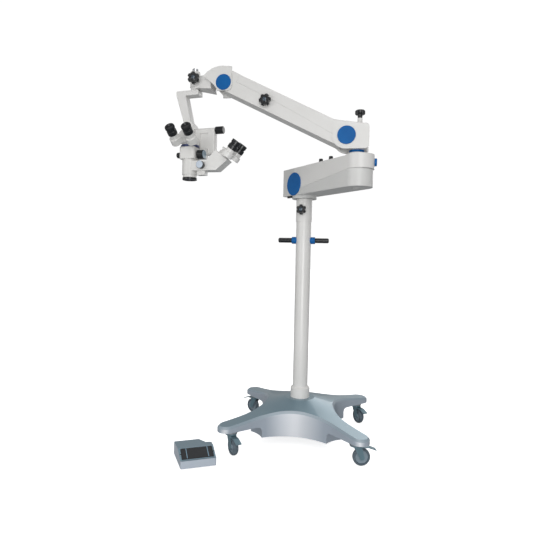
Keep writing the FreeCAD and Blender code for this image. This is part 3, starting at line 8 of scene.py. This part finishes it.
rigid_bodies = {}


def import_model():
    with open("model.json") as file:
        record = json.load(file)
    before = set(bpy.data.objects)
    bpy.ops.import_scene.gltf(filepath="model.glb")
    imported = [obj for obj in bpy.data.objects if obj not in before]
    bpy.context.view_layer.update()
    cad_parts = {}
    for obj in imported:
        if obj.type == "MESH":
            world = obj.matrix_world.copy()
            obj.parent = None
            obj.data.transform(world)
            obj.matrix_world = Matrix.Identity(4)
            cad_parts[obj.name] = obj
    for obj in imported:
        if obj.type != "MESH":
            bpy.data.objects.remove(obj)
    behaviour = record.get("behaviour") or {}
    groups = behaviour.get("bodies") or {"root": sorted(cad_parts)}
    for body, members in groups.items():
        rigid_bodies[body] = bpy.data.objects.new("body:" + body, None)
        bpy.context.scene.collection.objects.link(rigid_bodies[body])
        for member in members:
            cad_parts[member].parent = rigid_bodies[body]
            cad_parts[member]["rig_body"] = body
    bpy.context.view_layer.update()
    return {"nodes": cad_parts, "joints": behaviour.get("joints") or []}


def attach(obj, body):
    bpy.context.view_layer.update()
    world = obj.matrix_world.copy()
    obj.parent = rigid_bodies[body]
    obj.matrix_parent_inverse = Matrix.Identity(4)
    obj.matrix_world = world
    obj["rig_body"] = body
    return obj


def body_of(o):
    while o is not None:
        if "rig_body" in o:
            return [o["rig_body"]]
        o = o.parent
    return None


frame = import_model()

scene = bpy.context.scene
nodes = frame["nodes"]
joints = {joint["name"]: joint for joint in frame["joints"]}

# Camera: where the photograph was taken from, its heading, tilt and roll in degrees, and its lens
CAMERA_SPOT = Vector((0.2545, -2.2923, 0.8919))
CAMERA_HEADING, CAMERA_TILT, CAMERA_ROLL = 10.668, 1.511, 1.225
LENS_MM, SENSOR_MM, FAR_CLIP = 31.39, 36, 60

# Studio: the floor's width, and soft lights as (name, spot, aim, size, power)
FLOOR_SIZE = 60
WORLD_LIGHT, WORLD_SEEN = 0.45, 1.02
FLOOR_GLOW, FLOOR_GLOW_SEEN = 0.05, 0.72
LIGHTS = [
    ("key", (0.9, -3.8, 2.8), (0, 0, 0.9), 2.4, 36),
    ("fill", (-2.6, -3.0, 1.2), (-0.2, 0, 0.9), 2.4, 20),
    ("low", (0.5, -3.2, 0.5), (0, 0, 0.15), 1.6, 36),
    ("top", (0.3, 0.8, 4.2), (0, 0, 0.6), 2.4, 18),
    ("back", (1.0, 3.6, 2.2), (0, 0, 0.9), 2.4, 24),
]

# Places on the stand, in metres and degrees
OPTIC_SPOT, OPTIC_HEADING = (-0.48175, -0.30333, 1.36168), -7
BINOCULAR_SHIFT, BINOCULAR_INCLINE = (0, 0, 0.013), 54
ASSISTANT_SHIFT, ASSISTANT_INCLINE = (0.162, 0, -0.043), 38
LOWER_ARM_SPOT, LOWER_ARM_HEADING = (0, 0, 1.185), -47.3
FOOT_HEADING, PLATE_SLOPE = 28.6, 22.1
OUTSIDE_REACH = 0.2      # from a knob's pivot to a point outside the knob
ABOVE_LID = 0.4

# Where colours change on a piece
SLEEVE_TOP = 0.0465
KNOB_FACE_DEPTH = 0.0012
WHEEL_CENTRE_RADIUS = 0.022
STRIP_DEPTH = 0.0003

# Turned pieces, as points of radius and height; an eyecup's radii are steps from its rim
KNOB_CAP = [
    (0, -0.001), (0.0085, -0.001), (0.0085, 0.0006), (0.0068, 0.0016), (0.0035, 0.0022), (0, 0.0024),
]
EYECUP = [
    (-0.0035, -0.003), (0.0006, -0.012), (0.0016, -0.010), (0.0016, -0.002), (0.0004, 0.0004),
    (-0.002, 0.0006), (-0.004, -0.0012), (-0.0035, -0.003),
]
RIM_BAND = 0.002
SCREW = [
    (0, -0.0012), (0.0032, -0.0012), (0.0032, 0.0006), (0.0028, 0.0010), (0.0016, 0.0010), (0.0014, 0.0001),
    (0, 0.0001),
]
LID_SCREWS = [(0.03, -0.046), (0.03, 0.046), (0.28, -0.046), (0.28, 0.046)]
TURNED_STEPS, SCREW_STEPS = 48, 18
EDGE_WIDTH, EDGE_SEGMENTS = 0.0004, 2

# Camera
camera_data = bpy.data.cameras.new("camera")
camera = bpy.data.objects.new("camera", camera_data)
scene.collection.objects.link(camera)
scene.camera = camera
heading, tilt, roll = (math.radians(angle) for angle in (CAMERA_HEADING, CAMERA_TILT, CAMERA_ROLL))
forward = Vector((-math.sin(heading) * math.cos(tilt), math.cos(heading) * math.cos(tilt), -math.sin(tilt)))
level_right = Vector((math.cos(heading), math.sin(heading), 0))
level_up = level_right.cross(forward)
right = level_right * math.cos(roll) + level_up * math.sin(roll)
up = level_up * math.cos(roll) - level_right * math.sin(roll)
axes = Matrix((right, up, -forward)).transposed()
camera.matrix_world = Matrix.Translation(CAMERA_SPOT) @ axes.to_4x4()
camera_data.sensor_width = SENSOR_MM
camera_data.lens = LENS_MM
camera_data.clip_end = FAR_CLIP


def linear(code):
    """A colour as red, green, blue and alpha for a shader, from an sRGB code."""
    channels = [int(code[i:i + 2], 16) / 255 for i in (0, 2, 4)]
    return [c / 12.92 if c <= 0.04045 else ((c + 0.055) / 1.055) ** 2.4 for c in channels] + [1.0]


class Surface:
    """A node material with a few calls that add one node each and wire it up."""

    def __init__(self, name, colour, roughness, metallic=0.0, coat=0.0, specular=0.5):
        self.material = bpy.data.materials.new(name)
        self.material.use_nodes = True
        self.tree = self.material.node_tree
        self.shader = self.tree.nodes["Principled BSDF"]
        plain = {"Base Color": linear(colour), "Roughness": roughness, "Metallic": metallic,
                 "Coat Weight": coat, "Specular IOR Level": specular}
        for socket, value in plain.items():
            self.set(self.shader, socket, value)
        self.place = self.add("ShaderNodeTexCoord").outputs["Object"]

    def set(self, node, socket, value):
        if isinstance(value, bpy.types.NodeSocket):
            self.tree.links.new(value, node.inputs[socket])
        else:
            node.inputs[socket].default_value = value

    def add(self, kind, settings=(), **inputs):
        node = self.tree.nodes.new(kind)
        for name, value in dict(settings).items():
            setattr(node, name, value)
        for socket, value in inputs.items():
            self.set(node, socket.replace("_", " "), value)
        return node

    def noise(self, scale, detail=2.0, stretch=(1, 1, 1)):
        mapping = self.add("ShaderNodeMapping", Vector=self.place, Scale=stretch)
        spread = self.add("ShaderNodeTexNoise", Vector=mapping.outputs[0], Scale=scale, Detail=detail)
        return spread.outputs["Fac"]

    def normal(self):
        """The surface's own normal, split into X, Y and Z."""
        geometry = self.add("ShaderNodeNewGeometry")
        return self.add("ShaderNodeSeparateXYZ", Vector=geometry.outputs["Normal"]).outputs

    def between(self, factor, low, high, start=0.0, end=1.0):
        """A number that goes from low to high as factor goes from start to end."""
        ends = {"From_Min": start, "From_Max": end, "To_Min": low, "To_Max": high}
        return self.add("ShaderNodeMapRange", Value=factor, **ends).outputs[0]

    def blend(self, factor, first, second):
        """A colour that goes from first to second, each a code or a socket."""
        mix = self.add("ShaderNodeMix", {"data_type": "RGBA"})
        colours = [linear(c) if isinstance(c, str) else c for c in (first, second)]
        for index, value in zip((0, 6, 7), (factor, *colours)):
            self.set(mix, index, value)
        return mix.outputs[2]

    def paint(self, factor, first, second):
        self.set(self.shader, "Base Color", self.blend(factor, first, second))

    def roughen(self, factor, low, high):
        self.set(self.shader, "Roughness", self.between(factor, low, high))

    def bump(self, height, distance):
        lift = self.add("ShaderNodeBump", Height=height, Distance=distance, Strength=1.0)
        self.set(self.shader, "Normal", lift.outputs[0])

    def edge_highlight_and_wear(self, width, gain):
        """Lighter where the surface turns sharply: a painted highlight along the edges, with some handling
        wear.
        """
        bevel = self.add("ShaderNodeBevel", {"samples": 4}, Radius=width)
        turn = self.add("ShaderNodeVectorMath", {"operation": "DOT_PRODUCT"})
        self.set(turn, 0, bevel.outputs[0])
        self.set(turn, 1, self.add("ShaderNodeNewGeometry").outputs["Normal"])
        return self.between(turn.outputs["Value"], gain, 0.0, 0.80, 0.995)


def painted(name, colour, shade, roughness=0.34, coat=0.25):
    """Satin stove enamel: slight cloudiness of tone, fine orange peel and a thin clear coat."""
    look = Surface(name, colour, roughness, coat=coat)
    cloud = look.noise(3.0, 3.0)
    look.paint(look.between(cloud, 0.0, 1.0, 0.35, 0.7), colour, shade)
    look.roughen(look.noise(40.0), roughness - 0.05, roughness + 0.06)
    look.set(look.shader, "Coat Roughness", 0.18)
    look.bump(look.noise(300.0, 2.0), 0.000008)
    return look


def brushed(name, colour, shade, along, roughness):
    """Metal with fine lines drawn along one axis."""
    look = Surface(name, colour, roughness, metallic=1.0)
    stretch = [1.0 if axis == along else 40.0 for axis in "XYZ"]
    grain = look.noise(30.0, 4.0, stretch)
    look.paint(grain, colour, shade)
    look.roughen(grain, roughness - 0.07, roughness + 0.1)
    look.bump(grain, 0.000006)
    return look


# Studio: the floor is seen as white, and throws less light on the stand than it shows
half = FLOOR_SIZE / 2
floor_corners = [(-half, -half, 0), (half, -half, 0), (half, half, 0), (-half, half, 0)]
floor_mesh = bpy.data.meshes.new("floor")
floor_mesh.from_pydata(floor_corners, [], [(0, 1, 2, 3)])
floor = bpy.data.objects.new("floor", floor_mesh)
scene.collection.objects.link(floor)
floor_look = Surface("pale_floor", "FFFFFF", 0.9, specular=0.0)
seen = floor_look.add("ShaderNodeLightPath").outputs["Is Camera Ray"]
floor_tone = floor_look.blend(floor_look.noise(0.7), "FFFFFF", "FDFDFD")
floor_look.paint(seen, "9A9C9E", floor_tone)
floor_look.set(floor_look.shader, "Emission Color", linear("FFFFFF"))
floor_glow = floor_look.between(seen, FLOOR_GLOW, FLOOR_GLOW_SEEN)
floor_look.set(floor_look.shader, "Emission Strength", floor_glow)
floor_mesh.materials.append(floor_look.material)

# The background is seen as white too, and lights the stand more softly than that
world = bpy.data.worlds.new("studio")
scene.world = world
world.use_nodes = True
world_tree = world.node_tree
backdrop = world_tree.nodes["Background"]
backdrop.inputs["Color"].default_value = (1, 1, 1, 1)
path = world_tree.nodes.new("ShaderNodeLightPath")
strength = world_tree.nodes.new("ShaderNodeMapRange")
strength.inputs["To Min"].default_value = WORLD_LIGHT
strength.inputs["To Max"].default_value = WORLD_SEEN
world_tree.links.new(path.outputs["Is Camera Ray"], strength.inputs["Value"])
world_tree.links.new(strength.outputs[0], backdrop.inputs["Strength"])

for name, spot, aim, size, power in LIGHTS:
    data = bpy.data.lights.new(name, "AREA")
    data.shape, data.size, data.energy = "DISK", size, power
    lamp = bpy.data.objects.new(name, data)
    scene.collection.objects.link(lamp)
    lamp.location = spot
    lamp.rotation_euler = (Vector(aim) - Vector(spot)).to_track_quat("-Z", "Y").to_euler()
scene.view_settings.view_transform = "Standard"
scene.view_settings.look = "None"
scene.view_settings.exposure = 0
scene.view_settings.gamma = 1

# Enamels of the stand and the box
white = painted("warm_white_enamel", "DEDDDB", "D6D5D2")
column_white = painted("column_white_enamel", "E2E1DF", "DAD9D6", roughness=0.3)
box_grey = painted("box_grey_enamel", "D3D3D1", "CACAC8", roughness=0.4)

# Base: metallic blue-grey paint. The top gets painted shade, the rim and skirt get painted light in silver
# tones, and the skirt gets a painted sheen, palest where it faces front
base_paint = Surface("base_metallic_paint", "8296A2", 0.3, metallic=0.4, coat=0.4)
base_normal = base_paint.normal()
# A painted sheen: the skirt is palest where it faces front and darker where it turns sideways
sideways = base_paint.add("ShaderNodeMath", {"operation": "ABSOLUTE"}, Value=base_normal["X"])
painted_sheen = base_paint.between(sideways.outputs[0], 1.0, 0.0, 0.04, 0.5)
lit_skirt_tone = base_paint.blend(painted_sheen, "B4BFCB", "F2F5FA")
# Painted shade on the top faces, painted light on the upright faces
upright_lit_mask = base_paint.between(base_normal["Z"], 1.0, 0.0, 0.15, 0.9)
shaded_top_tone = base_paint.blend(base_paint.noise(5.0, 3.0), "64808E", "7A939F")
lit_and_shaded_base_tone = base_paint.blend(upright_lit_mask, shaded_top_tone, lit_skirt_tone)
# A painted highlight round the rim, where the surface is half upright
rim_highlight_crest = base_paint.add("ShaderNodeMath", {"operation": "PINGPONG"}, Value=base_normal["Z"])
base_paint.set(rim_highlight_crest, 1, 0.5)
rim_highlight_tone = base_paint.blend(base_paint.between(rim_highlight_crest.outputs[0], 0.0, 0.7, 0.2, 0.5), lit_and_shaded_base_tone, "BCC8D2")
base_paint.paint(base_paint.between(base_paint.noise(1400.0, 1.0), 0.0, 0.03), rim_highlight_tone, "E6EAF0")
base_paint.roughen(base_paint.noise(20.0), 0.3, 0.4)
base_paint.bump(base_paint.noise(260.0, 3.0), 0.000006)

# Blue covers of the pivots
blue = Surface("blue_gloss_cover", "0F5FA6", 0.4, specular=0.2)
blue.paint(blue.noise(16.0, 3.0), "065292", "0E66AC")
blue.roughen(blue.noise(90.0), 0.36, 0.5)
blue.bump(blue.noise(300.0), 0.000004)

# Black moulded knobs and eyepieces
black = Surface("black_moulding", "11161C", 0.3, coat=0.2)
# Sharp edges are painted lighter: a painted highlight, with some wear
black.paint(black.edge_highlight_and_wear(0.0008, 0.5), "070B10", "20262C")
black.roughen(black.noise(120.0), 0.24, 0.42)
black.bump(black.noise(500.0, 2.0), 0.000008)

# Rubber of the feet and eyecups
rubber = Surface("matt_rubber", "1A1C1F", 0.72, specular=0.3)
rubber.paint(rubber.noise(60.0), "17191C", "26282B")
rubber.bump(rubber.noise(1500.0, 3.0), 0.00008)

# Wheel tyres: blue-grey thermoplastic with dust on the tread
tyre = Surface("wheel_tyre", "5C6973", 0.5)
tyre.paint(tyre.between(tyre.noise(45.0, 4.0), 0.0, 1.0, 0.45, 0.75), "56636D", "717D86")
tyre.bump(tyre.noise(700.0, 3.0), 0.0001)

# Pressed caster forks and brake pedals
caster = Surface("caster_pressing", "5D7680", 0.4, metallic=0.35, coat=0.2)
# Sharp edges are painted lighter: a painted highlight, with some wear
caster.paint(caster.edge_highlight_and_wear(0.0012, 0.7), "6A8590", "A9BAC2")
caster.roughen(caster.noise(70.0), 0.32, 0.5)
caster.bump(caster.noise(500.0), 0.00001)

steel = brushed("brushed_steel", "B9BBBE", "9C9FA3", "X", 0.34)
chrome = brushed("turned_chrome", "D9DBDE", "C4C7CB", "Z", 0.12)

# Violet anodised ring under the eyepiece base
violet = Surface("violet_ring", "40486F", 0.34, metallic=0.5, coat=0.3)
violet.paint(violet.noise(30.0), "3B4368", "4C557F")
violet.bump(violet.noise(60.0, 2.0, (1, 1, 60)), 0.00002)

# Foot control: case darker on top than in front, and a black rocker
pedal = Surface("pedal_case_paint", "8C9DAC", 0.36, metallic=0.3, coat=0.3)
pedal_tone = pedal.blend(pedal.between(pedal.normal()["Z"], 0.0, 1.0, 0.2, 0.9), "C4CEDA", "62808F")
pedal.paint(pedal.between(pedal.noise(500.0), 0.0, 0.15), pedal_tone, "D5DCE4")
pedal.bump(pedal.noise(300.0), 0.00001)
rocker = Surface("rocker_moulding", "10171E", 0.4)
# Sharp edges are painted lighter: a painted highlight, with some wear
rocker.paint(rocker.edge_highlight_and_wear(0.001, 0.6), "0B1016", "2A333B")
rocker.bump(rocker.noise(800.0, 3.0), 0.00012)

# Coated glass of the objective
glass = Surface("coated_glass", "8FA6B8", 0.04, coat=0.4)
glass.paint(glass.noise(25.0), "6E8AA6", "8A7FA8")
glass.set(glass.shader, "Transmission Weight", 0.55)

LOOKS = {
    base_paint: ["base_casting"],
    column_white: ["column", "hub_sleeve"],
    white: ["arm_box_cover", "rear_housing", "spring_arm_body", "spring_arm_cover", "front_housing",
            "drop_bracket", "carrier", "microscope_body", "binocular_base", "eyepiece_tube_left",
            "eyepiece_tube_right", "assistant_block", "assistant_base", "assistant_tube_left",
            "assistant_tube_right"],
    box_grey: ["arm_box_body", "power_unit"],
    blue: ["arm_box_discs", "handle_collars", "rear_swivel_ring", "rear_pivot_pin", "front_pivot_pin"],
    black: ["handle_grips", "column_lock_knob", "rear_lock_knob", "arm_lock_knob", "front_lock_knob",
            "tilt_knob", "zoom_knobs", "assistant_knob", "eyepiece_left", "eyepiece_right", "power_dial",
            "brightness_dial", "box_sockets", "objective_ring"],
    rubber: ["pedal_feet"],
    steel: ["parallel_rod", "balance_spring", "caster_plates"],
    chrome: ["drop_spindle"],
    violet: ["binocular_ring"],
    pedal: ["pedal_case"],
    rocker: ["pedal_rocker"],
    glass: ["objective_lens"],
    caster: [f"caster_{piece}_{number}" for piece in ("fork", "brake") for number in range(1, 5)],
    tyre: [f"caster_wheel_{number}" for number in range(1, 5)],
}
for look, names in LOOKS.items():
    for name in names:
        mesh = nodes[name].data
        mesh.materials.clear()
        mesh.materials.append(look.material)


# Places of the moving parts, for what is added to them or coloured on them
def frame_at(spot, axis, angle):
    return Matrix.Translation(spot) @ Matrix.Rotation(math.radians(angle), 4, axis)


OPTIC = frame_at(OPTIC_SPOT, "Z", OPTIC_HEADING)
BINO = OPTIC @ frame_at(BINOCULAR_SHIFT, "X", BINOCULAR_INCLINE)
SIDE = OPTIC @ frame_at(ASSISTANT_SHIFT, "Y", ASSISTANT_INCLINE)
LOWER = frame_at(LOWER_ARM_SPOT, "Z", LOWER_ARM_HEADING)


def recolour(name, look, here):
    """Gives a look to the faces of a node whose centres pass the test."""
    mesh = nodes[name].data
    mesh.materials.append(look.material)
    slot = len(mesh.materials) - 1
    for face in mesh.polygons:
        if here(face.center):
            face.material_index = slot


def points(name, place):
    """A node's corners, as its place sees them."""
    return [place.inverted() @ vertex.co for vertex in nodes[name].data.vertices]


# Second observer's eyepieces are black above their white sleeves
for side in ("left", "right"):
    recolour(f"assistant_tube_{side}", black, lambda centre: (SIDE.inverted() @ centre).z > SLEEVE_TOP)

# Pale caps on the ends of the zoom and fine-adjustment knobs
cap_grey = painted("cap_grey_moulding", "6E8494", "7E93A2", roughness=0.3)
cap_silver = painted("cap_silver_moulding", "C3CEDA", "B4C0CE", roughness=0.25)
zoom_face = max(point.x for point in points("zoom_knobs", OPTIC)) - KNOB_FACE_DEPTH
recolour("zoom_knobs", cap_grey, lambda centre: (OPTIC.inverted() @ centre).x > zoom_face)
knob_face = min(point.y for point in points("assistant_knob", OPTIC)) + KNOB_FACE_DEPTH
recolour("assistant_knob", cap_silver, lambda centre: (OPTIC.inverted() @ centre).y < knob_face)

# Wheel centres are paler than their tyres
hub_grey = painted("wheel_centre_moulding", "8A9AA4", "7C8C97", roughness=0.45)
for number in range(1, 5):
    roll_joint = joints[f"caster_{number}_roll"]
    pivot, axle = Vector(roll_joint["pos_m"]), Vector(roll_joint["axis"]).normalized()
    recolour(f"caster_wheel_{number}", hub_grey,
             lambda centre: (centre - pivot).cross(axle).length < WHEEL_CENTRE_RADIUS)

# Two pale strips lie along the rocking plate of the foot control
strip_blue = painted("strip_moulding", "7E9EB2", "7291A6", roughness=0.4)
PLATE = (frame_at(joints["foot_rocker_tilt"]["pos_m"], "Z", FOOT_HEADING)
         @ Matrix.Rotation(math.radians(PLATE_SLOPE), 4, "X"))
strip_level = max(point.z for point in points("pedal_rocker", PLATE)) - STRIP_DEPTH
recolour("pedal_rocker", strip_blue, lambda centre: (PLATE.inverted() @ centre).z > strip_level)


def turned(name, place, profile, look, body, steps=TURNED_STEPS):
    """A turned piece about the local Z of its place; profile points are (radius, height)."""
    shape = bmesh.new()
    rings = []
    for radius, z in profile:
        if radius == 0:
            rings.append([shape.verts.new((0, 0, z))] * steps)
            continue
        turns = [2 * math.pi * i / steps for i in range(steps)]
        rings.append([shape.verts.new((radius * math.cos(t), radius * math.sin(t), z)) for t in turns])
    for low, high in zip(rings, rings[1:]):
        for i in range(steps):
            corners = [low[i], low[(i + 1) % steps], high[(i + 1) % steps], high[i]]
            shape.faces.new(list(dict.fromkeys(corners)))
    bmesh.ops.recalc_face_normals(shape, faces=shape.faces)
    mesh = bpy.data.meshes.new(name)
    shape.to_mesh(mesh)
    shape.free()
    mesh.transform(place)
    mesh.shade_smooth()
    mesh.materials.append(look.material)
    piece = bpy.data.objects.new(name, mesh)
    scene.collection.objects.link(piece)
    soft = piece.modifiers.new("soft_edges", "BEVEL")
    soft.width, soft.segments, soft.limit_method = EDGE_WIDTH, EDGE_SEGMENTS, "ANGLE"
    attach(piece, body)


def surface_place(name, start, direction):
    """Where a line first meets a node, with its local Z out of the surface."""
    mesh = nodes[name].data
    tree = BVHTree.FromPolygons([v.co for v in mesh.vertices], [f.vertices for f in mesh.polygons])
    point, normal, _, _ = tree.ray_cast(start, direction)
    outward = -normal if normal.dot(direction) > 0 else normal
    return Matrix.Translation(point) @ outward.to_track_quat("Z", "Y").to_matrix().to_4x4()


# Domed caps in the middle of the star knobs
knob_cap = painted("knob_cap_moulding", "2E3E4C", "40525F", roughness=0.16, coat=0.8)
for lock in ("front_lock", "arm_lock", "column_lock", "rear_lock"):
    joint, corners = joints[f"{lock}_turn"], nodes[f"{lock}_knob"].data.vertices
    pivot, axis = Vector(joint["pos_m"]), Vector(joint["axis"])
    middle = sum((vertex.co for vertex in corners), Vector()) / len(corners)
    outward = axis if (middle - pivot).dot(axis) > 0 else -axis
    place = surface_place(f"{lock}_knob", pivot + outward * OUTSIDE_REACH, -outward)
    turned(f"{lock}_knob_cap", place, KNOB_CAP, knob_cap, joint["child"])

# Rubber cups round the rims of the observer's two eyepieces
for side in ("left", "right"):
    places = points(f"eyepiece_{side}", BINO)
    rim = max(point.z for point in places)
    ends = [point for point in places if point.z > rim - RIM_BAND]
    (low_x, high_x), (low_y, high_y) = [(min(row), max(row)) for row in list(zip(*ends))[:2]]
    seat = BINO @ Matrix.Translation(((high_x + low_x) / 2, (high_y + low_y) / 2, rim))
    cup = [((high_x - low_x) / 2 + step, z) for step, z in EYECUP]
    turned(f"eyecup_{side}", seat, cup, rubber, body_of(nodes[f"eyepiece_{side}"])[0])

# Socket-head screws that hold the lid of the lower arm's box
screw_look = brushed("screw_steel", "A7AAAE", "8D9195", "X", 0.3)
node = "arm_box_cover"
for number, (x, y) in enumerate(LID_SCREWS, 1):
    place = surface_place(node, LOWER @ Vector((x, y, ABOVE_LID)), Vector((0, 0, -1)))
    turned(f"lid_screw_{number}", place, SCREW, screw_look, body_of(nodes[node])[0], SCREW_STEPS)
